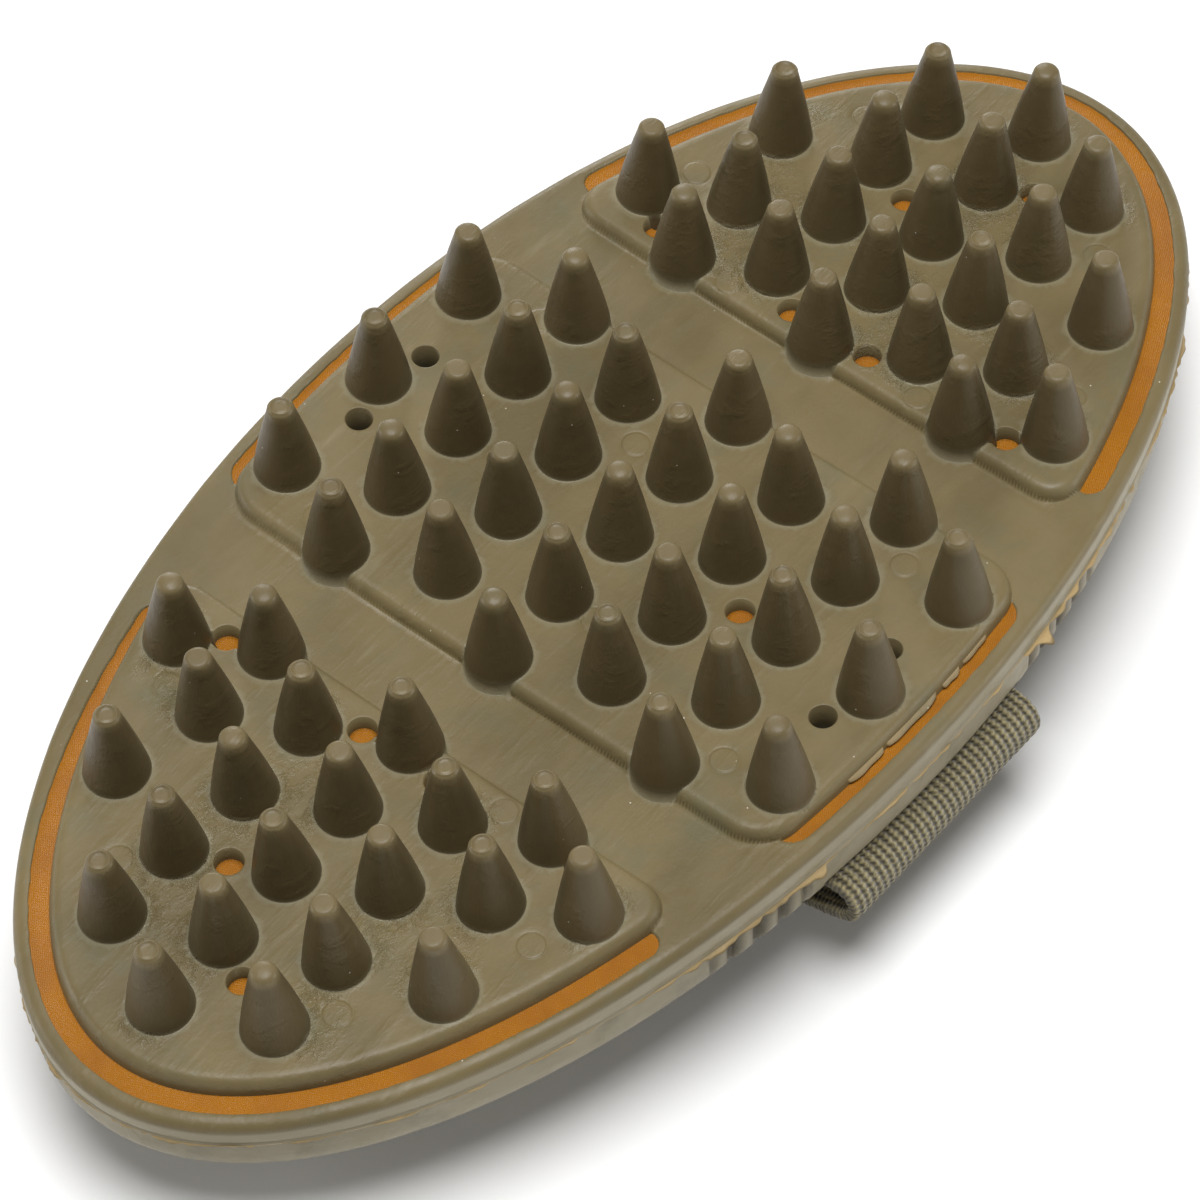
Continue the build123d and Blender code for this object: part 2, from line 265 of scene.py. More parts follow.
def oval_points(inset):
    x = (HALF_WIDTH - inset) * np.cos(OVAL_ANGLES)
    y = (HALF_LENGTH - inset) * np.sin(OVAL_ANGLES)
    return np.stack([x, y], 1)


def rim_points():
    """Rings over the rounded rim, outermost first."""
    bends = np.radians((90, 75, 60, 45, 30, 15, 0))
    return np.concatenate([oval_points(RIM_RADIUS * (1 - math.sin(bend))) for bend in bends])


def clear_of(points, places, radius):
    keep = np.ones(len(points), bool)
    for px, py in places:
        keep &= np.hypot(points[:, 0] - px, points[:, 1] - py) > radius
    return keep


def far_from(points, others, cell):
    """Which points share no neighbourhood of cells with the others."""
    taken = set()
    for cx, cy in np.floor(others / cell).astype(int):
        for i in (-1, 0, 1):
            for j in (-1, 0, 1):
                taken.add((cx + i, cy + j))
    cells = np.floor(points / cell).astype(int)
    return np.array([(int(cx), int(cy)) not in taken for cx, cy in cells])


def contours(centre, shape, levels, spacing):
    """Rings where the distance function shape has each level, on shared rays from centre."""
    def solve(angles, level):
        low, high = np.zeros_like(angles), np.full_like(angles, 130.0)
        along_x, along_y = np.cos(angles), np.sin(angles)
        for _ in range(40):
            middle = (low + high) / 2
            value = shape(centre[0] + middle * along_x, centre[1] + middle * along_y)
            low = np.where(value > level, middle, low)
            high = np.where(value > level, high, middle)
        return np.stack([centre[0] + low * along_x, centre[1] + low * along_y], 1)
    angles = np.linspace(0, FULL_TURN, 4001)
    ring = solve(angles, levels[0])
    length = np.concatenate([[0], np.cumsum(np.hypot(*np.diff(ring, axis=0).T))])
    count = int(length[-1] / spacing)
    angles = np.interp(np.arange(count) / count * length[-1], length, angles)
    return np.concatenate([solve(angles, level) for level in levels])


def circle(x, y, radius, count):
    angle = FULL_TURN * np.arange(count) / count
    return np.stack([x + radius * np.cos(angle), y + radius * np.sin(angle)], 1)


def circles_at(places, radii, count=36):
    return np.concatenate([circle(x, y, radius, count) for x, y in places for radius in radii])


EDGE_SPACING = 0.42
PAD_LEVELS = (0.03, -0.1, -0.02, 0.12, 0.27, 0.48, 0.75, 1.1, 1.6)
STRIPE_LEVELS = (0.0, -0.5, -0.22, -0.05, 0.06, 0.12)
EJECTOR_CIRCLES = (1.3, 1.5, 1.57, 1.65, 1.75, 1.95)
PIN_CIRCLES = (1.0, 1.5, 1.59, 1.61, 1.72, 1.9, 2.2)
SIGHT_CIRCLES = (0.9, 1.4, 1.47, 1.49, 1.6, 1.75, 2.1)


def feature_points():
    """Plan points along the edges of pads, stripes, holes and moulding marks."""
    lines = []
    for pad, centre in zip(PADS, PAD_CENTRES):
        def pad_shape(x, y, pad=pad):
            return inside_block(x, y, *pad, PAD_CORNER)
        lines.append(contours(centre, pad_shape, PAD_LEVELS, EDGE_SPACING))
    for stripe, centre in zip(STRIPES, PAD_CENTRES):
        def stripe_shape(x, y, stripe=stripe):
            return inside_stripe(x, y, stripe)
        edge = contours(centre, stripe_shape, STRIPE_LEVELS, EDGE_SPACING)
        lines.append(edge[inside_pads(edge[:, 0], edge[:, 1]) < -0.2])
    lines = np.concatenate(lines)
    lines = lines[clear_of(lines, PINS + SIGHTS, 2.3)]
    marks = [
        circles_at(EJECTORS, EJECTOR_CIRCLES),
        circles_at(PINS, PIN_CIRCLES),
        circles_at(SIGHTS, SIGHT_CIRCLES),
    ]
    features = np.concatenate([lines] + marks)
    return features[clear_of(features, TEETH, TOOTH_RADIUS + 0.22)]


def staggered_grid(step):
    """Plan points over the box of the oval, with every second row shifted."""
    x, y = np.meshgrid(
        np.arange(-HALF_WIDTH, HALF_WIDTH, step), np.arange(-HALF_LENGTH, HALF_LENGTH, step)
    )
    x[1::2] += step / 2
    return np.stack([x.ravel(), y.ravel()], 1)


def filling_points(features):
    """Loosely spread points wherever nothing else sets the mesh."""
    grid = staggered_grid(0.62)
    fill = grid + rng.normal(0, 0.06, grid.shape)
    fill = fill[inside_oval(fill[:, 0], fill[:, 1], RIM_RADIUS) > 0.25]
    fill = fill[clear_of(fill, TEETH, TOOTH_RADIUS + 0.35)]
    return fill[far_from(fill, features, 0.25)]


# ---- teeth --------------------------------------------------------------------------------
TOOTH_SIDES = 44
FLANK_SHARES = (0, 0.02, 0.06, 0.14, 0.26, 0.4, 0.54, 0.68, 0.82, 0.93)
FLANK_BULGE = 0.13
TIP_START = 10.0
TALL_TEETH = (25, 16)         # half-width and half-length of the patch of taller teeth
# radius and height of each ring of a tip
TIP_SHAPES = {
    "domed": (
        (1.5, 10.15), (1.44, 10.42), (1.27, 10.68), (0.98, 10.86), (0.55, 10.97), (0.2, 11.0),
    ),
    "flat": (
        (1.5, 10.2), (1.45, 10.47), (1.3, 10.68), (1.1, 10.8), (0.98, 10.83), (0.5, 10.83),
        (0.2, 10.83),
    ),
    "ring": (
        (1.5, 10.2), (1.46, 10.48), (1.34, 10.66), (1.18, 10.76), (1.14, 10.88), (1.04, 10.9),
        (0.99, 10.79), (0.5, 10.77), (0.2, 10.77),
    ),
}


def tooth_profile(tip):
    """Radius and height of the rings of one tooth, foot first."""
    along = np.array(FLANK_SHARES)
    top_radius, top_height = TIP_SHAPES[tip][0]
    bulge = FLANK_BULGE * np.sin(np.pi * along ** 0.8)
    radius = TOOTH_RADIUS + (top_radius - TOOTH_RADIUS) * along + bulge
    return list(zip(radius, top_height * along)) + list(TIP_SHAPES[tip])


def tooth_axes(x, y):
    """Two directions along the face and the direction out of it."""
    out = np.array((-x / CUP_RADIUS, y / CROWN_RADIUS, 1.0))
    out /= np.linalg.norm(out)
    first = np.cross((0.0, 1.0, 0.0), out)
    first /= np.linalg.norm(first)
    return first, np.cross(out, first), out


def tooth_rings():
    """Plan points, true points and a mask of every tooth: -1 on the flank, up to 1 on the tip."""
    plan, solid, mask = [], [], []
    angle = FULL_TURN * np.arange(TOOTH_SIDES) / TOOTH_SIDES
    kinds = tuple(TIP_SHAPES)
    for x, y in TEETH:
        kind = kinds[int(rng.integers(0, 3))]
        first, second, out = tooth_axes(x, y)
        lean = rng.normal(0, 0.011, 2)
        stretch = 1 + rng.normal(0, 0.008)
        if abs(x) < TALL_TEETH[0] and abs(y) < TALL_TEETH[1]:
            stretch += 0.05
        foot = np.array((x, y, PAD_TOP + saddle(x, y)))
        for radius, height in tooth_profile(kind):
            c, s = np.cos(angle) * radius, np.sin(angle) * radius
            plan.append(np.stack([x + c, y + s], 1))
            h = height * stretch
            centre = foot + out * h + first * lean[0] * h + second * lean[1] * h
            solid.append(centre + c[:, None] * first + s[:, None] * second)
            mask.append(np.full(TOOTH_SIDES, np.clip((height - TIP_START) / 0.35, -1, 1)))
        h = TIP_SHAPES[kind][-1][1] * stretch
        plan.append(np.array([[x, y]]))
        solid.append((foot + out * h + first * lean[0] * h + second * lean[1] * h)[None])
        mask.append(np.ones(1))
    return np.concatenate(plan), np.concatenate(solid), np.concatenate(mask)


def foot_rings():
    """Ground points round every tooth foot."""
    rings = circles_at(TEETH, (TOOTH_RADIUS + 0.05, TOOTH_RADIUS + 0.2), TOOTH_SIDES)
    return rings[clear_of(rings, PINS, 1.75)]


# ---- mesh helpers -------------------------------------------------------------------------
def make_object(name, points, faces, material, body="root"):
    mesh = bpy.data.meshes.new(name)
    faces = [tuple(int(i) for i in face) for face in faces]
    mesh.from_pydata((np.asarray(points) * MM).tolist(), [], faces)
    mesh.update()
    mesh.polygons.foreach_set("use_smooth", [True] * len(mesh.polygons))
    piece = bpy.data.objects.new(name, mesh)
    bpy.context.scene.collection.objects.link(piece)
    piece.data.materials.append(material)
    if body:
        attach(piece, body)
    return piece


def set_mask(piece, name, values):
    """Store one number per vertex, for the material to read."""
    attribute = piece.data.attributes.new(name, "FLOAT", "POINT")
    attribute.data.foreach_set("value", np.asarray(values, np.float32))


def ring_faces(first, second, count):
    """Quads between two closed rings of vertices that start at numbers first and second."""
    i = np.arange(count)
    j = (i + 1) % count
    return np.stack([first + i, first + j, second + j, second + i], 1).tolist()


def triangulate(plan):
    """Delaunay triangles over the plan points, and which point each vertex came from."""
    result = delaunay_2d_cdt([Vector(p) for p in plan], [], [], 0, 1e-6)
    return np.array(result[2]), np.array([source[0] for source in result[3]])


def edges_used_once(triangles):
    """Directed edges of the triangles that have no partner."""
    pairs = ((0, 1), (1, 2), (2, 0))
    directed = np.concatenate([triangles[:, pair] for pair in pairs])
    base = triangles.max() + 1
    code = directed[:, 0] * base + directed[:, 1]
    partner = directed[:, 1] * base + directed[:, 0]
    return directed[~np.isin(code, partner)]


# ---- rubber face --------------------------------------------------------------------------
# share of the way from rim to seam, and how far the wall stands in there
BAND = (
    (0.1, 0.0), (0.3, 0.0), (0.5, 0.02), (0.66, 0.05), (0.76, 0.16), (0.82, 0.2), (0.88, 0.13),
    (0.95, 0.04), (1.0, 0.1),
)


def deep_points(x, y):
    """Which points lie at the foot of a slot, pin hole or sight hole wall."""
    deep = inside_stripes(x, y) > 0.112
    for places, radius in ((PINS, 1.595), (SIGHTS, 1.475)):
        deep |= ~clear_of(np.stack([x, y], 1), places, radius)
    return deep


def face_top():
    """Triangles, true points and tip mask of the upper side, outer ring first."""
    features = feature_points()
    ground = [rim_points(), features, filling_points(features), foot_rings()]
    ground = np.concatenate(ground)
    tooth_plan, tooth_solid, tooth_mask = tooth_rings()
    x, y = ground.T
    solid = np.concatenate([np.stack([x, y, face_height(x, y)], 1), tooth_solid])
    triangles, source = triangulate(np.concatenate([ground, tooth_plan]))
    deep = np.concatenate([deep_points(x, y), np.zeros(len(tooth_plan), bool)])[source]
    tips = np.concatenate([np.zeros(len(ground)), tooth_mask])[source]
    return triangles[~deep[triangles].all(axis=1)], solid[source], tips


def face_band():
    """Rings of the side wall, from the rim down to the seam."""
    rings = []
    for share, inset in BAND:
        x, y = oval_points(inset).T
        top = RIM_TOP - RIM_RADIUS + saddle(x, y)
        rings.append(np.stack([x, y, top + (seam_height(y) - top) * share], 1))
    return rings


def hole_walls(triangles, points):
    """Walls down to the seam round slots and holes: lower vertex numbers, lower points, faces."""
    openings = edges_used_once(triangles)
    openings = openings[(openings >= OVAL_COUNT).any(axis=1)]
    around = np.unique(openings)
    below = points[around].copy()
    below[:, 2] = seam_height(below[:, 1])
    place = np.full(len(points), -1)
    place[around] = len(points) + np.arange(len(around))
    walls = [(b, a, place[a], place[b]) for a, b in openings]
    return place[around], below, walls


def bottom_faces(points, loops):
    """Triangles at the seam between the outer wall and the walls of slots and holes."""
    bottom, source = triangulate(points[loops][:, :2])
    centres = points[loops[source[bottom]]].mean(axis=1)
    bottom = bottom[~deep_points(centres[:, 0], centres[:, 1])]
    return loops[source[bottom]][:, ::-1].tolist()


def skin_masks(points):
    """A thin pale line round each tooth foot, and torn skin between the teeth of the end pads."""
    x, y, z = points.T
    gap = np.full(len(points), 99.0)
    for px, py in TEETH:
        gap = np.minimum(gap, np.hypot(x - px, y - py) - TOOTH_RADIUS)
    ground = (z - saddle(x, y) < PAD_TOP + 0.3) & (gap > -0.5)
    foot = ground * bell(gap, 0.12, 0.14)
    patches = np.clip(smooth_noise(x, y, 16, 31) * 1.2 + 0.1, 0, 1)
    patches = patches * np.exp(-np.maximum(gap - 0.8, 0) / 1.6)
    on_end_pad = (np.abs(y) > END_PAD_START + 2) * np.clip(inside_pads(x, y) - 1.5, 0, 1)
    return foot, ground * on_end_pad * patches


def mask_face(piece, points, tips, band_start, band_end):
    """Masks that steer the rubber material of the face."""
    tips = np.concatenate([tips, np.zeros(len(points) - len(tips))])
    band = np.zeros(len(points))
    band[band_start:band_end] = 1
    band[:OVAL_COUNT] = 0.6
    plan = points[:, :2]
    # painted shade down the walls of the pin and sight holes
    pit_shade = 0.4 * ~clear_of(plan, PINS, 1.598)
    pit_shade += 0.5 * ~clear_of(plan, SIGHTS, 1.5) + 0.5 * ~clear_of(plan, SIGHTS, 1.48)
    foot, skin = skin_masks(points)
    set_mask(piece, "tip", np.maximum(tips, 0))
    # the flank mask carries painted shade on the tooth flanks
    set_mask(piece, "flank", np.maximum(-tips, 0))
    set_mask(piece, "band", band)
    # the groove mask carries painted shade inside the pin and sight holes
    set_mask(piece, "groove", pit_shade)
    set_mask(piece, "foot", foot)
    set_mask(piece, "skin", skin)


def build_face(material):
    triangles, points, tips = face_top()
    faces = triangles.tolist()
    rings = face_band()
    starts = [0] + [len(points) + i * OVAL_COUNT for i in range(len(rings))]
    for upper, lower in zip(starts, starts[1:]):
        faces += ring_faces(lower, upper, OVAL_COUNT)
    points = np.concatenate([points] + rings)
    inner, below, walls = hole_walls(triangles, points)
    faces += walls
    points = np.concatenate([points, below])
    outer = np.arange(OVAL_COUNT) + starts[-1]
    faces += bottom_faces(points, np.concatenate([outer, inner]))
    piece = make_object("face_moulding", points, faces, material)
    mask_face(piece, points, tips, starts[1], starts[-1] + OVAL_COUNT)
    return piece


# ---- rubber back --------------------------------------------------------------------------
BACK_INSET = 0.3
EDGE_RADIUS = 4.5
RIB_FIRST = 20.4
RIB_PITCH = 3.5
RIB_RADIUS = 1.55
RIB_RECESS = 1.3
RIB_COUNT = 4
STRAP_HALF = 16.0
STRAP_EXIT = (12.8, 14.5)     # bottom and top of the webbing where it leaves the body
POCKET_DEPTH = 2.6
POCKET_GAP = 0.25


def rib_inset(x, y):
    """How far the wall stands back between the finger ribs."""
    along = np.abs(y)
    index = np.clip(np.round((along - RIB_FIRST) / RIB_PITCH), 0, RIB_COUNT - 1)
    off = np.abs(along - RIB_FIRST - index * RIB_PITCH)
    lobe = RIB_RADIUS - np.sqrt(np.maximum(RIB_RADIUS ** 2 - (1.05 * off) ** 2, 0))
    depth = np.minimum(1.15 * lobe, RIB_RECESS + 0.25)
    last = RIB_FIRST + (RIB_COUNT - 1) * RIB_PITCH
    fade = np.clip((along - last - 1.0) / 0.7, 0, 1)
    depth = depth * (1 - fade ** 2 * (3 - 2 * fade))
    start = np.clip((along - RIB_FIRST + RIB_RADIUS + 0.35) / 0.3, 0, 1)
    return depth * start * (np.abs(x) > HALF_WIDTH / 2)


def rib_zone(x, y):
    along = np.abs(y)
    last = RIB_FIRST + (RIB_COUNT - 0.5) * RIB_PITCH
    return (np.abs(x) > HALF_WIDTH / 2) & (along > RIB_FIRST - RIB_PITCH / 2) & (along < last)


def strap_pocket(edge, z):
    """Recess in the wall where the strap comes out."""
    near = (np.abs(edge[:, 1]) < STRAP_HALF + 0.35) & (np.abs(edge[:, 0]) > 30)
    level = (z > STRAP_EXIT[0] - POCKET_GAP) & (z < STRAP_EXIT[1] + POCKET_GAP)
    return POCKET_DEPTH * (near & level)


def back_rings():
    """Rings from the seam down the wall and round the lower edge."""
    edge = oval_points(BACK_INSET)
    top = seam_height(edge[:, 1])
    shoulder = underside_height(edge[:, 0]) + EDGE_RADIUS
    ribs = rib_inset(*edge.T)
    levels = [(0.0, top + (shoulder - top) * share) for share in np.linspace(0, 1, 15)]
    for bend in np.radians(np.linspace(3, 90, 30)):
        inset = EDGE_RADIUS * (1 - math.cos(bend))
        levels.append((inset, shoulder - EDGE_RADIUS * math.sin(bend)))
    rings = []
    for inset, z in levels:
        inset = np.maximum(inset, ribs) + strap_pocket(edge, z)
        x, y = oval_points(BACK_INSET + inset).T
        rings.append(np.stack([x, y, z], 1))
    return rings


def build_back(material):
    rings = back_rings()
    points = np.concatenate(rings)
    faces = []
    for index in range(len(rings) - 1):
        faces += ring_faces((index + 1) * OVAL_COUNT, index * OVAL_COUNT, OVAL_COUNT)
    fill = staggered_grid(1.6)
    fill = fill[inside_oval(fill[:, 0], fill[:, 1], BACK_INSET + EDGE_RADIUS) > 0.8]
    triangles, source = triangulate(np.concatenate([rings[-1][:, :2], fill]))
    last_ring = np.arange(OVAL_COUNT) + (len(rings) - 1) * OVAL_COUNT
    numbers = np.concatenate([last_ring, len(points) + np.arange(len(fill))])
    faces += numbers[source[triangles]][:, ::-1].tolist()
    points = np.concatenate([points, np.column_stack([fill, underside_height(fill[:, 0])])])
    lid, source = triangulate(rings[0][:, :2])
    faces += source[lid].tolist()
    piece = make_object("back_moulding", points, faces, material)
    x, y, _ = points.T
    side = inside_oval(x, y, BACK_INSET) < EDGE_RADIUS
    # painted shade in the hollows between the finger ribs, deeper where the wall stands further back
    rib_shade = np.clip(0.15 + rib_inset(x, y) / RIB_RECESS, 0, 0.9)
    set_mask(piece, "groove", side * rib_shade * rib_zone(x, y))
    return piece


# ---- moulding flash -----------------------------------------------------------------------
FLASH_INSET = 0.1
FLASH_LIMITS = (0.03, 1.7)
# share of the reach outwards, or millimetres inwards where negative, and rise over the seam
FLASH_SECTION = (
    (-0.6, 0.05), (0.0, 0.09), (0.55, 0.05), (1.0, 0.0), (0.55, -0.05), (0.0, -0.09), (-0.6, -0.05),
)
# middle along Y, length, and how far the skin laps over the stripe
STRIPE_FLAPS = ((-6.9, 5.5, 0.5), (0.6, 8.4, 0.55), (7.4, 3.0, 0.45), (11.8, 4.4, 0.25))
FLAP_STEPS = 36


def flash_reach(x, y):
    """How far the torn flash stands out of the seam."""
    t = np.arctan2(y / HALF_LENGTH, x / HALF_WIDTH) * 60
    ragged = 0.5 * noise_along(t, 9, 21) + 0.5 * noise_along(t, 2.2, 22)
    torn = noise_along(t, 14, 27)
    reach = 0.14 + 0.2 * ragged + 0.5 * np.clip(torn - 0.7, 0, 1)
    along = np.abs(y)
    beside = (np.abs(x) > HALF_WIDTH / 2) & (along > 17) & (along < 33)
    scallop = np.abs(np.sin(np.pi * (along - RIB_FIRST + RIB_PITCH / 2) / RIB_PITCH))
    reach += beside * (0.12 + 0.3 * scallop)
    reach += (x > 0) * (1.3 * bell(y, 20.2, 0.7) + 0.6 * bell(y, -18.0, 1.2))
    return np.clip(reach, *FLASH_LIMITS)


def build_flash(material):
    x, y = oval_points(FLASH_INSET).T
    reach = flash_reach(x, y)
    wave = 0.12 * noise_along(np.arctan2(y, x) * 90, 7, 23)
    rings = []
    for out, rise in FLASH_SECTION:
        inset = FLASH_INSET - np.where(out > 0, out * reach, out)
        sag = wave * max(out, 0) - 0.25 * max(out, 0) * reach
        px, py = oval_points(inset).T
        rings.append(np.stack([px, py, seam_height(y) + rise + sag], 1))
    faces = []
    count = len(rings)
    for index in range(count):
        faces += ring_faces((index + 1) % count * OVAL_COUNT, index * OVAL_COUNT, OVAL_COUNT)
    return make_object("seam_flash", np.concatenate(rings), faces, material)


def flap_section(lap):
    """Inset and lift over the rim of one closed section of a flap."""
    return (
        (3.5, 0.8), (3.2, 0.42), (3.2 - lap, 0.16), (3.2 - lap, 0.03), (3.3, 0.2), (3.6, 0.6),
    )


def build_stripe_flaps(material):
    """Thin skins of rubber that lap over the inner edge of one middle stripe."""
    points, faces = [], []
    size = len(flap_section(0))
    for middle, length, width in STRIPE_FLAPS:
        first = len(points)
        last = first + FLAP_STEPS * size
        for index in range(FLAP_STEPS + 1):
            share = index / FLAP_STEPS
            y = middle + length * (share - 0.5)
            ragged = 0.85 + 0.15 * math.sin(9 * share + middle)
            lap = width * (math.sin(math.pi * share) ** 0.35) * ragged
            for inset, lift in flap_section(lap):
                x = (HALF_WIDTH - inset) * math.sqrt(1 - (y / (HALF_LENGTH - inset)) ** 2)
                points.append((x, y, RIM_TOP + lift + saddle(x, y)))
        for index in range(FLAP_STEPS):
            faces += ring_faces(first + index * size, first + (index + 1) * size, size)
        faces.append(tuple(range(first, first + size))[::-1])
        faces.append(tuple(range(last, last + size)))
    return make_object("stripe_flaps", points, faces, material)


# ---- hand strap ---------------------------------------------------------------------------
STRAP_WIDTH = 32.0
STRAP_THICK = 1.7
TAIL_START = 24.5
TURN_X = 41.35
TURN_Z = 13.65
TURN_RADIUS = 2.3
STRAP_SLOPE = math.radians(18)
FLAT_BEND = 30.0
WEAVE_STEP = 0.4
STRAP_COLUMNS = 84
RIB_STEP = 0.98               # pitch of the ribs that run along the strap


def strap_half():
    """Centre line from the end of one tail to the middle of the band, as x and z."""
    line = [(x, TURN_Z) for x in np.arange(TAIL_START, TURN_X, WEAVE_STEP)]
    for a in np.linspace(0, math.pi - STRAP_SLOPE, 22):
        turned = TURN_Z - TURN_RADIUS * (1 - math.cos(a))
        line.append((TURN_X + TURN_RADIUS * math.sin(a), turned))
    low_x, low_z = line[-1]
    flat_z = STRAP_THICK / 2
    corner = low_x - (low_z - flat_z) / math.tan(STRAP_SLOPE)
    tangent = FLAT_BEND * math.tan(STRAP_SLOPE / 2)
    run_x = corner + tangent * math.cos(STRAP_SLOPE) - low_x
    run_z = flat_z + tangent * math.sin(STRAP_SLOPE) - low_z
    count = int(-run_x / WEAVE_STEP)
    line += [(low_x + run_x * i / count, low_z + run_z * i / count) for i in range(1, count + 1)]
    start = corner - tangent
    for a in np.linspace(STRAP_SLOPE, 0, 24)[1:]:
        line.append((start + FLAT_BEND * math.sin(a), flat_z + FLAT_BEND * (1 - math.cos(a))))
    line += [(x, flat_z) for x in np.linspace(start, 0, int(start / WEAVE_STEP))[1:]]
    return np.array(line)


def strap_line():
    half = strap_half()
    return np.concatenate([half, half[-2::-1] * (-1, 1)])


def strap_section():
    """Place across, from -1 to 1, and lift off the centre line, round one closed section."""
    across = np.linspace(-1, 1, STRAP_COLUMNS + 1)
    near_edge = np.clip(np.abs(across) - 0.955, 0, 1) / 0.05
    lift = STRAP_THICK / 2 * np.sqrt(np.clip(1 - near_edge ** 2, 0.05, 1))
    return list(zip(across, lift)) + list(zip(across[::-1], -lift[::-1]))


def section_shape(u, lift, along):
    """Place along Y and rise of one section point: ribbed faces and slightly frilled edges."""
    frill = 1 + 0.004 * math.sin(along * FULL_TURN / 1.1) + 0.002 * math.sin(along * 1.3)
    width = STRAP_WIDTH / 2 * (u * frill if abs(u) > 0.9 else u) * 0.992
    ridge = math.copysign(0.05, lift) * math.cos(FULL_TURN * u * STRAP_WIDTH / 2 / RIB_STEP)
    return width, lift * 0.95 + (ridge if abs(u) < 0.96 else 0)


def build_strap(material):
    line = strap_line()
    along = np.concatenate([[0], np.cumsum(np.hypot(*np.diff(line, axis=0).T))])
    run = np.gradient(line, axis=0)
    run /= np.linalg.norm(run, axis=1)[:, None]
    out = np.stack([run[:, 1], -run[:, 0]], 1)
    section = strap_section()
    size = len(section)
    points, uv = [], []
    for index, (x, z) in enumerate(line):
        for u, lift in section:
            width, rise = section_shape(u, lift, along[index])
            points.append((x + out[index, 0] * rise, width, z + out[index, 1] * rise))
            uv.append((u * STRAP_WIDTH / 2 * MM, along[index] * MM))
    last = (len(line) - 1) * size
    faces = []
    for start in range(0, last, size):
        faces += ring_faces(start, start + size, size)
    faces.append(tuple(range(size))[::-1])
    faces.append(tuple(range(last, last + size)))
    piece = make_object("strap_webbing", points, faces, material, body=None)
    layer = piece.data.uv_layers.new(name="weave")
    corners = np.zeros(len(piece.data.loops), int)
    piece.data.loops.foreach_get("vertex_index", corners)
    layer.data.foreach_set("uv", np.array(uv)[corners].ravel())
    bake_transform(piece)
    return piece


# ---- materials ----------------------------------------------------------------------------
class Shader:
    """A material with a Principled surface and short ways to add nodes to it."""

    def __init__(self, name, **constants):
        self.material = bpy.data.materials.new(name)
        self.material.use_nodes = True
        self.tree = self.material.node_tree
        self.surface = self.tree.nodes["Principled BSDF"]
        for key, value in constants.items():
            self.surface.inputs[key.replace("_", " ")].default_value = value

    def add(self, kind, settings=None, **inputs):
        """A node with its inputs set: by name, or by number as i0, i1 and so on."""
        node = self.tree.nodes.new("ShaderNode" + kind)
        for key, value in (settings or {}).items():
            setattr(node, key, value)
        for key, value in inputs.items():
            numbered = key[0] == "i" and key[1:].isdigit()
            self.feed(node.inputs[int(key[1:]) if numbered else key.replace("_", " ")], value)
        return node

    def feed(self, socket, value):
        if isinstance(value, bpy.types.NodeSocket):
            self.tree.links.new(value, socket)
        else:
            socket.default_value = value

    def place(self, scale=(1, 1, 1), turn=(0, 0, 0), uv=None):
        """Coordinates in metres, stretched by scale and turned."""
        if uv:
            source = self.add("UVMap", {"uv_map": uv}).outputs["UV"]
        else:
            source = self.add("TexCoord").outputs["Object"]
        return self.add("Mapping", Vector=source, Scale=scale, Rotation=turn).outputs["Vector"]

    def noise(self, where, scale, detail=4.0, roughness=0.55):
        node = self.add("TexNoise", Vector=where, Scale=scale, Detail=detail, Roughness=roughness)
        return node.outputs["Fac"]

    def cells(self, where, scale):
        """Distance to the nearest of scattered points, and a random colour for each."""
        node = self.add("TexVoronoi", {"feature": "F1"}, Vector=where, Scale=scale)
        return node.outputs["Distance"], node.outputs["Color"]

    def ramp(self, value, low, high, from_value=0.0, to_value=1.0):
        """The value brought smoothly from the range low to high to from_value to to_value."""
        node = self.add("MapRange", {"interpolation_type": "SMOOTHSTEP"}, Value=value)
        limits = {"From Min": low, "From Max": high, "To Min": from_value, "To Max": to_value}
        for key, number in limits.items():
            node.inputs[key].default_value = number
        return node.outputs["Result"]

    def math(self, operation, first, second=0.0):
        return self.add("Math", {"operation": operation}, i0=first, i1=second).outputs[0]

    def mix(self, share, first, second):
        """Colour between first and second."""
        node = self.add("Mix", {"data_type": "RGBA", "blend_type": "MIX"})
        for number, value in ((0, share), (6, first), (7, second)):
            self.feed(node.inputs[number], value)
        return node.outputs[2]

    def mask(self, name, strength=1.0):
        """A mask stored on the mesh. A mesh without it reads as zero."""
        value = self.add("Attribute", {"attribute_name": name}).outputs["Fac"]
        return value if strength == 1.0 else self.math("MULTIPLY", value, strength)

    def bump(self, height, depth, strength=1.0, normal=None):
        node = self.add("Bump", Height=height, Distance=depth, Strength=strength)
        if normal:
            self.feed(node.inputs["Normal"], normal)
        return node.outputs["Normal"]

    def finish(self, colour, roughness, normal):
        self.feed(self.surface.inputs["Base Color"], colour)
        self.feed(self.surface.inputs["Roughness"], roughness)
        self.feed(self.surface.inputs["Normal"], normal)
        return self.material


def tone(red, green, blue):
    """Linear colour of an sRGB tone given as 0 to 255."""
    def linear(value):
        share = value / 255
        return share / 12.92 if share <= 0.04045 else ((share + 0.055) / 1.055) ** 2.4
    return (linear(red), linear(green), linear(blue), 1.0)


GREEN_FILM = tone(98, 95, 72)
# painted shade: the tooth flanks are darkened to stand in for their shading
FLANK_SHADE = tone(76, 63, 39)
PALE_FOOT = tone(138, 134, 112)
# painted shade for the hollows: pin and sight hole walls and the recesses between the finger ribs
HOLLOW_SHADE = tone(46, 38, 25)
DUST = tone(222, 218, 204)
SHEEN_TINT = tone(200, 190, 165)


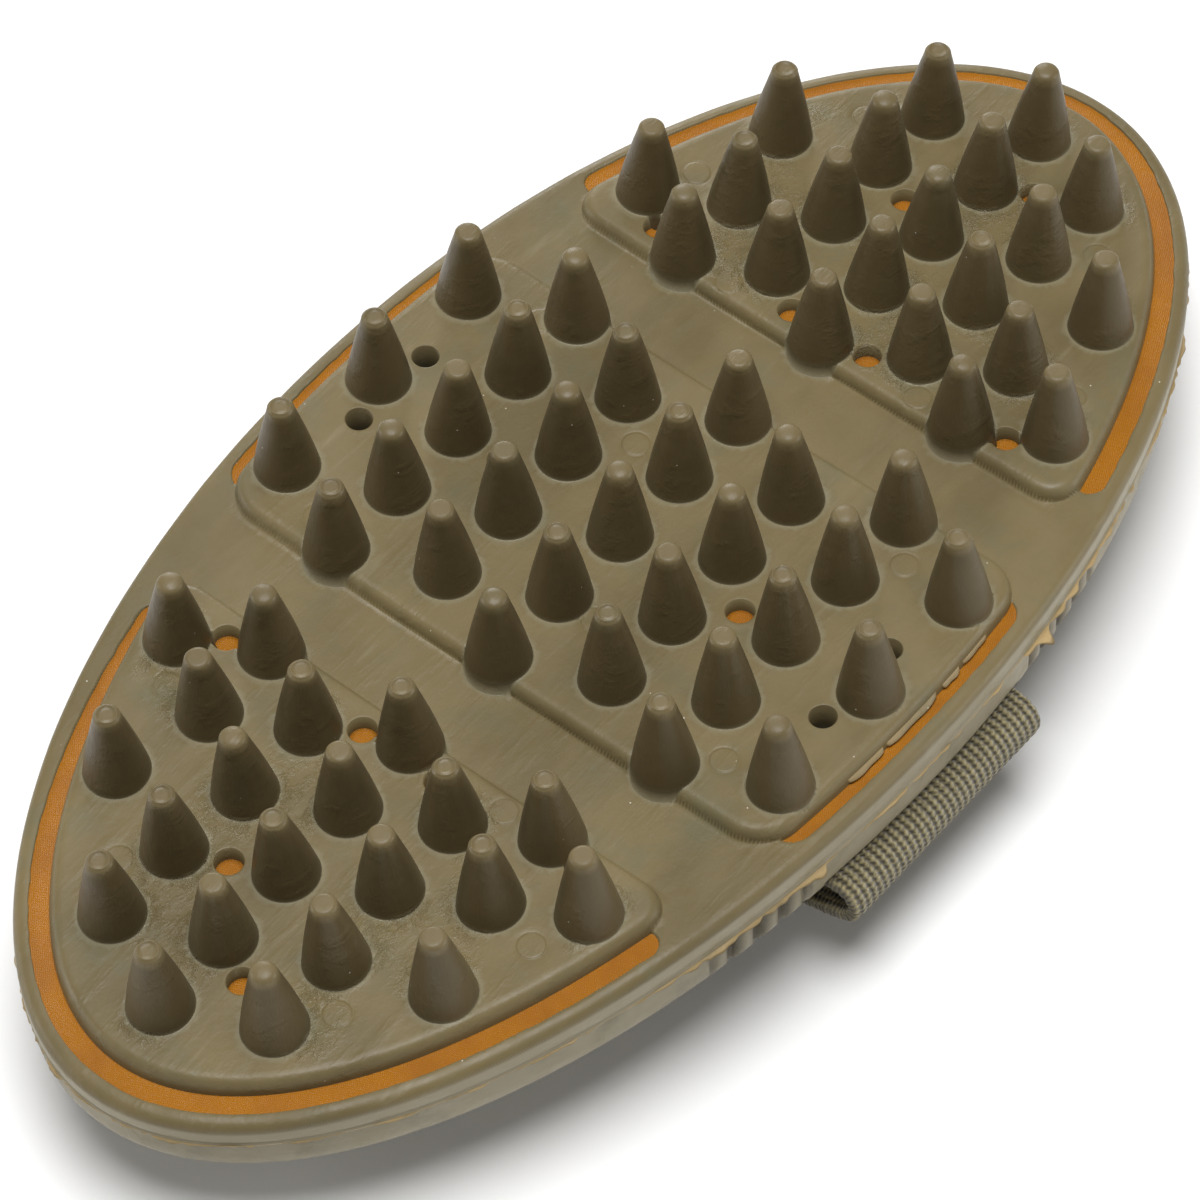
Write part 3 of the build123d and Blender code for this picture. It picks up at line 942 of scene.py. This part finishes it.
def rubber_colour(shader, here, base, second, side, tip):
    """Clouds, a green film, flow streaks, the masked zones with painted shade on the tooth flanks and
    in the hollows, and lone specks of dust.
    """
    flow = shader.noise(shader.place((1.0, 0.35, 1.0), (0, 0, 0.5)), 55, 5, 0.6)
    colour = shader.mix(shader.ramp(flow, 0.38, 0.64), base, second)
    film = shader.noise(here, 120, 4, 0.65)
    colour = shader.mix(shader.ramp(film, 0.5, 0.72, 0, 0.5), colour, GREEN_FILM)
    streaks = shader.noise(shader.place((1.0, 0.12, 1.0), (0, 0, -0.9)), 420, 3, 0.6)
    colour = shader.mix(shader.ramp(streaks, 0.62, 0.78, 0, 0.2), colour, side)
    colour = shader.mix(shader.mask("band", 0.75), colour, side)
    # painted shade on the tooth flanks
    colour = shader.mix(shader.mask("flank", 0.7), colour, FLANK_SHADE)
    colour = shader.mix(shader.mask("tip", 0.45), colour, tip)
    colour = shader.mix(shader.mask("foot", 0.5), colour, PALE_FOOT)
    # painted shade in the holes and between the finger ribs
    colour = shader.mix(shader.mask("groove", 0.85), colour, HOLLOW_SHADE)
    distance, grain = shader.cells(here, 640)
    lone = shader.add("SeparateColor", Color=grain).outputs[0]
    near, rare = shader.ramp(distance, 0.03, 0.075, 1, 0), shader.ramp(lone, 0.925, 0.94)
    speck = shader.math("MULTIPLY", near, rare)
    return shader.mix(shader.math("MULTIPLY", speck, 0.8), colour, DUST)


def rubber_relief(shader, here, skin):
    """Fine grain, soft unevenness, flow furrows, pores, wrinkled skin and scratches."""
    normal = shader.bump(shader.noise(here, 2600, 3, 0.6), 0.00003, 0.5)
    soft = shader.noise(shader.place((1.0, 0.4, 1.0)), 260, 4, 0.5)
    normal = shader.bump(soft, 0.00026, 0.5, normal)
    furrow = shader.noise(shader.place((1.0, 0.16, 1.0), (0, 0, 0.35)), 330, 4, 0.6)
    normal = shader.bump(shader.ramp(furrow, 0.5, 0.72), 0.00012, 0.45, normal)
    pores = shader.noise(shader.place((1.0, 1.0, 0.3)), 1100, 4, 0.65)
    normal = shader.bump(pores, 0.00009, 0.5, normal)
    wrinkle = shader.noise(shader.place((1.0, 0.55, 1.0), (0, 0, 0.6)), 620, 5, 0.7)
    crease = shader.math("MULTIPLY", shader.ramp(wrinkle, 0.42, 0.66), skin)
    normal = shader.bump(crease, 0.0003, 0.75, normal)
    scratch = shader.noise(shader.place((1.0, 0.05, 1.0), (0, 0, 0.7)), 900, 2, 0.5)
    return shader.bump(shader.ramp(scratch, 0.66, 0.74), 0.00003, 0.4, normal)


def rubber(name, base, second, side, tip):
    """Satin moulded rubber in four tones."""
    shader = Shader(name, Specular_IOR_Level=0.3, Sheen_Weight=0.03, Sheen_Roughness=0.5)
    shader.surface.inputs["Sheen Tint"].default_value = SHEEN_TINT
    here = shader.place()
    colour = rubber_colour(shader, here, base, second, side, tip)
    skin = shader.mask("skin")
    worn = shader.ramp(shader.noise(here, 210, 6, 0.7), 0.3, 0.75, 0.36, 0.54)
    roughness = shader.math("SUBTRACT", worn, shader.math("MULTIPLY", skin, 0.16))
    return shader.finish(colour, roughness, rubber_relief(shader, here, skin))


KNURL_PITCH = 0.0004
RIB_PITCH_M = RIB_STEP * MM
PICK_PITCH_M = 0.0005


def core_plastic():
    """Glossy orange plastic with a fine crossed knurl, and painted highlights on the raised knurl
    lines.
    """
    shader = Shader("core_orange", Specular_IOR_Level=0.28)
    cloud = shader.noise(shader.place(), 130, 4, 0.6)
    colour = shader.mix(shader.ramp(cloud, 0.35, 0.7), tone(160, 101, 16), tone(146, 89, 12))
    waves = []
    for turn in (math.radians(45), math.radians(-45)):
        wave = shader.add(
            "TexWave", {"wave_type": "BANDS", "bands_direction": "X", "wave_profile": "SIN"},
            Vector=shader.place(turn=(0, 0, turn)), Scale=math.pi / 10 / KNURL_PITCH * 2,
            Distortion=0.0,
        )
        waves.append(wave.outputs["Fac"])
    knurl = shader.math("MULTIPLY", waves[0], waves[1])
    # painted highlight: the raised knurl lines are coloured lighter
    colour = shader.mix(shader.ramp(knurl, 0.45, 0.9, 0, 0.4), colour, tone(192, 132, 42))
    roughness = shader.ramp(cloud, 0.3, 0.7, 0.24, 0.38)
    return shader.finish(colour, roughness, shader.bump(knurl, 0.00009, 0.7))


def webbing_weave():
    """Ribs along the strap with short picks across them, with painted shade in the grooves and paler
    tops.
    """
    shader = Shader(
        "webbing_weave", Specular_IOR_Level=0.25, Sheen_Weight=0.3, Sheen_Roughness=0.6
    )
    here = shader.place(uv="weave")
    parts = shader.add("SeparateXYZ", Vector=here)
    fuzz = shader.noise(here, 900, 3, 0.7)
    shift = shader.math("SUBTRACT", fuzz, 0.5)
    rib = shader.math("MULTIPLY", parts.outputs[0], FULL_TURN / RIB_PITCH_M)
    rib = shader.math("ADD", rib, shift)
    ridge = shader.math("COSINE", rib)
    lean = shader.math("MULTIPLY", shader.math("SINE", rib), 0.9)
    pick = shader.math("MULTIPLY", parts.outputs[1], FULL_TURN / PICK_PITCH_M)
    pick = shader.math("ADD", shader.math("ADD", pick, lean), shift)
    yarn = shader.math("MULTIPLY", shader.math("SINE", pick), 0.28)
    height = shader.math("ADD", shader.math("MULTIPLY", ridge, 0.45), yarn)
    height = shader.math("ADD", height, shader.math("MULTIPLY", fuzz, 0.8))
    # painted shade: colour follows the weave height, dark in the grooves and pale on the ridges
    colour = shader.mix(shader.ramp(height, -0.2, 1.05), tone(54, 47, 28), tone(154, 143, 105))
    melange = shader.noise(here, 2400, 2, 0.6)
    colour = shader.mix(shader.ramp(melange, 0.48, 0.66, 0, 0.7), colour, tone(84, 75, 48))
    roughness = shader.ramp(fuzz, 0.3, 0.7, 0.75, 0.92)
    return shader.finish(colour, roughness, shader.bump(height, 0.00026, 1.0))


def plain_steel():
    """Zinc-plated steel of the rivets and clamp bars."""
    shader = Shader("zinc_steel", Metallic=1.0)
    here = shader.place()
    cloud = shader.noise(here, 400, 4, 0.6)
    colour = shader.mix(shader.ramp(cloud, 0.35, 0.7), tone(150, 146, 138), tone(110, 104, 95))
    roughness = shader.ramp(cloud, 0.3, 0.7, 0.35, 0.55)
    normal = shader.bump(shader.noise(here, 2500, 3, 0.6), 0.00003, 0.4)
    return shader.finish(colour, roughness, normal)


def floor_paint():
    shader = Shader("pale_floor", Specular_IOR_Level=0.1)
    cloud = shader.noise(shader.place(), 9, 3, 0.5)
    light, lighter = (0.86, 0.86, 0.86, 1), (0.87, 0.87, 0.87, 1)
    colour = shader.mix(shader.ramp(cloud, 0.3, 0.7), light, lighter)
    roughness = shader.ramp(cloud, 0.3, 0.7, 0.8, 0.85)
    normal = shader.bump(shader.noise(shader.place(), 700, 2, 0.5), 0.00002, 0.3)
    return shader.finish(colour, roughness, normal)


# ---- assembly -----------------------------------------------------------------------------
face_rubber = rubber(
    "face_rubber", base=tone(115, 102, 70), second=tone(102, 90, 61),
    side=tone(154, 145, 120), tip=tone(98, 85, 58),
)
back_rubber = rubber(
    "back_rubber", base=tone(148, 139, 116), second=tone(137, 128, 104),
    side=tone(156, 147, 124), tip=tone(140, 131, 110),
)
flash_rubber = rubber(
    "flash_rubber", base=tone(182, 156, 110), second=tone(160, 138, 96),
    side=tone(178, 156, 114), tip=tone(170, 145, 105),
)
flap_rubber = rubber(
    "flap_rubber", base=tone(146, 128, 92), second=tone(128, 112, 80),
    side=tone(150, 136, 104), tip=tone(140, 125, 96),
)
core_orange = core_plastic()
weave = webbing_weave()
steel = plain_steel()

face = build_face(face_rubber)
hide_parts("rubber_face")
flash = build_flash(flash_rubber)
flaps = build_stripe_flaps(flap_rubber)
back = build_back(back_rubber)
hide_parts("rubber_back")
strap = build_strap(weave)
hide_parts("hand_strap", "strap_tail_left", "strap_tail_right")

CAD_MATERIALS = {
    "core_plate": core_orange, "strap_rivets": steel, "clamp_bar_left": steel,
    "clamp_bar_right": steel,
}
for node, material in CAD_MATERIALS.items():
    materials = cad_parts[node].data.materials
    materials.clear()
    materials.append(material)


# ---- floor, light and camera --------------------------------------------------------------
FLOOR_REACH = 3.0
LIGHT_AIM = (0, 0, 0.02)
# name, place, size of the disc, power
LAMPS = (
    ("behind", (-0.8, 0.75, 0.4), 0.6, 6),
    ("left", (-0.85, -0.6, 0.25), 0.5, 3.0),
    ("right", (0.8, 0.6, 0.25), 0.5, 3.0),
    ("top", (0.05, -0.05, 1.2), 0.8, 17),
)
SKY_STRENGTH = 0.1
CAMERA_PLACE = (0.27165, -0.30991, 0.5635)
CAMERA_TURN = (0.894544, 0.29254, 0.118752, 0.3164)
CAMERA_LENS = 192.449
CAMERA_SENSOR = 36.0


def lay_floor():
    mesh = bpy.data.meshes.new("floor")
    corners = [(x * FLOOR_REACH, y * FLOOR_REACH, 0) for x, y in ((-1, -1), (1, -1), (1, 1), (-1, 1))]
    mesh.from_pydata(corners, [], [(0, 1, 2, 3)])
    floor = bpy.data.objects.new("floor", mesh)
    bpy.context.scene.collection.objects.link(floor)
    mesh.materials.append(floor_paint())


def soft_light(name, place, size, power):
    data = bpy.data.lights.new(name, "AREA")
    data.shape = "DISK"
    data.size = size
    data.energy = power
    lamp = bpy.data.objects.new(name, data)
    bpy.context.scene.collection.objects.link(lamp)
    lamp.location = place
    lamp.rotation_mode = "QUATERNION"
    lamp.rotation_quaternion = (Vector(LIGHT_AIM) - Vector(place)).to_track_quat("-Z", "Y")


def light_scene():
    for lamp in LAMPS:
        soft_light(*lamp)
    world = bpy.data.worlds.new("studio")
    world.use_nodes = True
    sky = world.node_tree.nodes["Background"]
    sky.inputs["Color"].default_value = (1, 1, 1, 1)
    sky.inputs["Strength"].default_value = SKY_STRENGTH
    bpy.context.scene.world = world
    bpy.context.scene.view_settings.view_transform = "Standard"


def place_camera():
    """The camera fitted to the photograph."""
    data = bpy.data.cameras.new("camera")
    data.sensor_width = CAMERA_SENSOR
    data.lens = CAMERA_LENS
    data.clip_start = 0.01
    camera = bpy.data.objects.new("camera", data)
    bpy.context.scene.collection.objects.link(camera)
    camera.location = CAMERA_PLACE
    camera.rotation_mode = "QUATERNION"
    camera.rotation_quaternion = CAMERA_TURN
    bpy.context.scene.camera = camera


lay_floor()
light_scene()
place_camera()
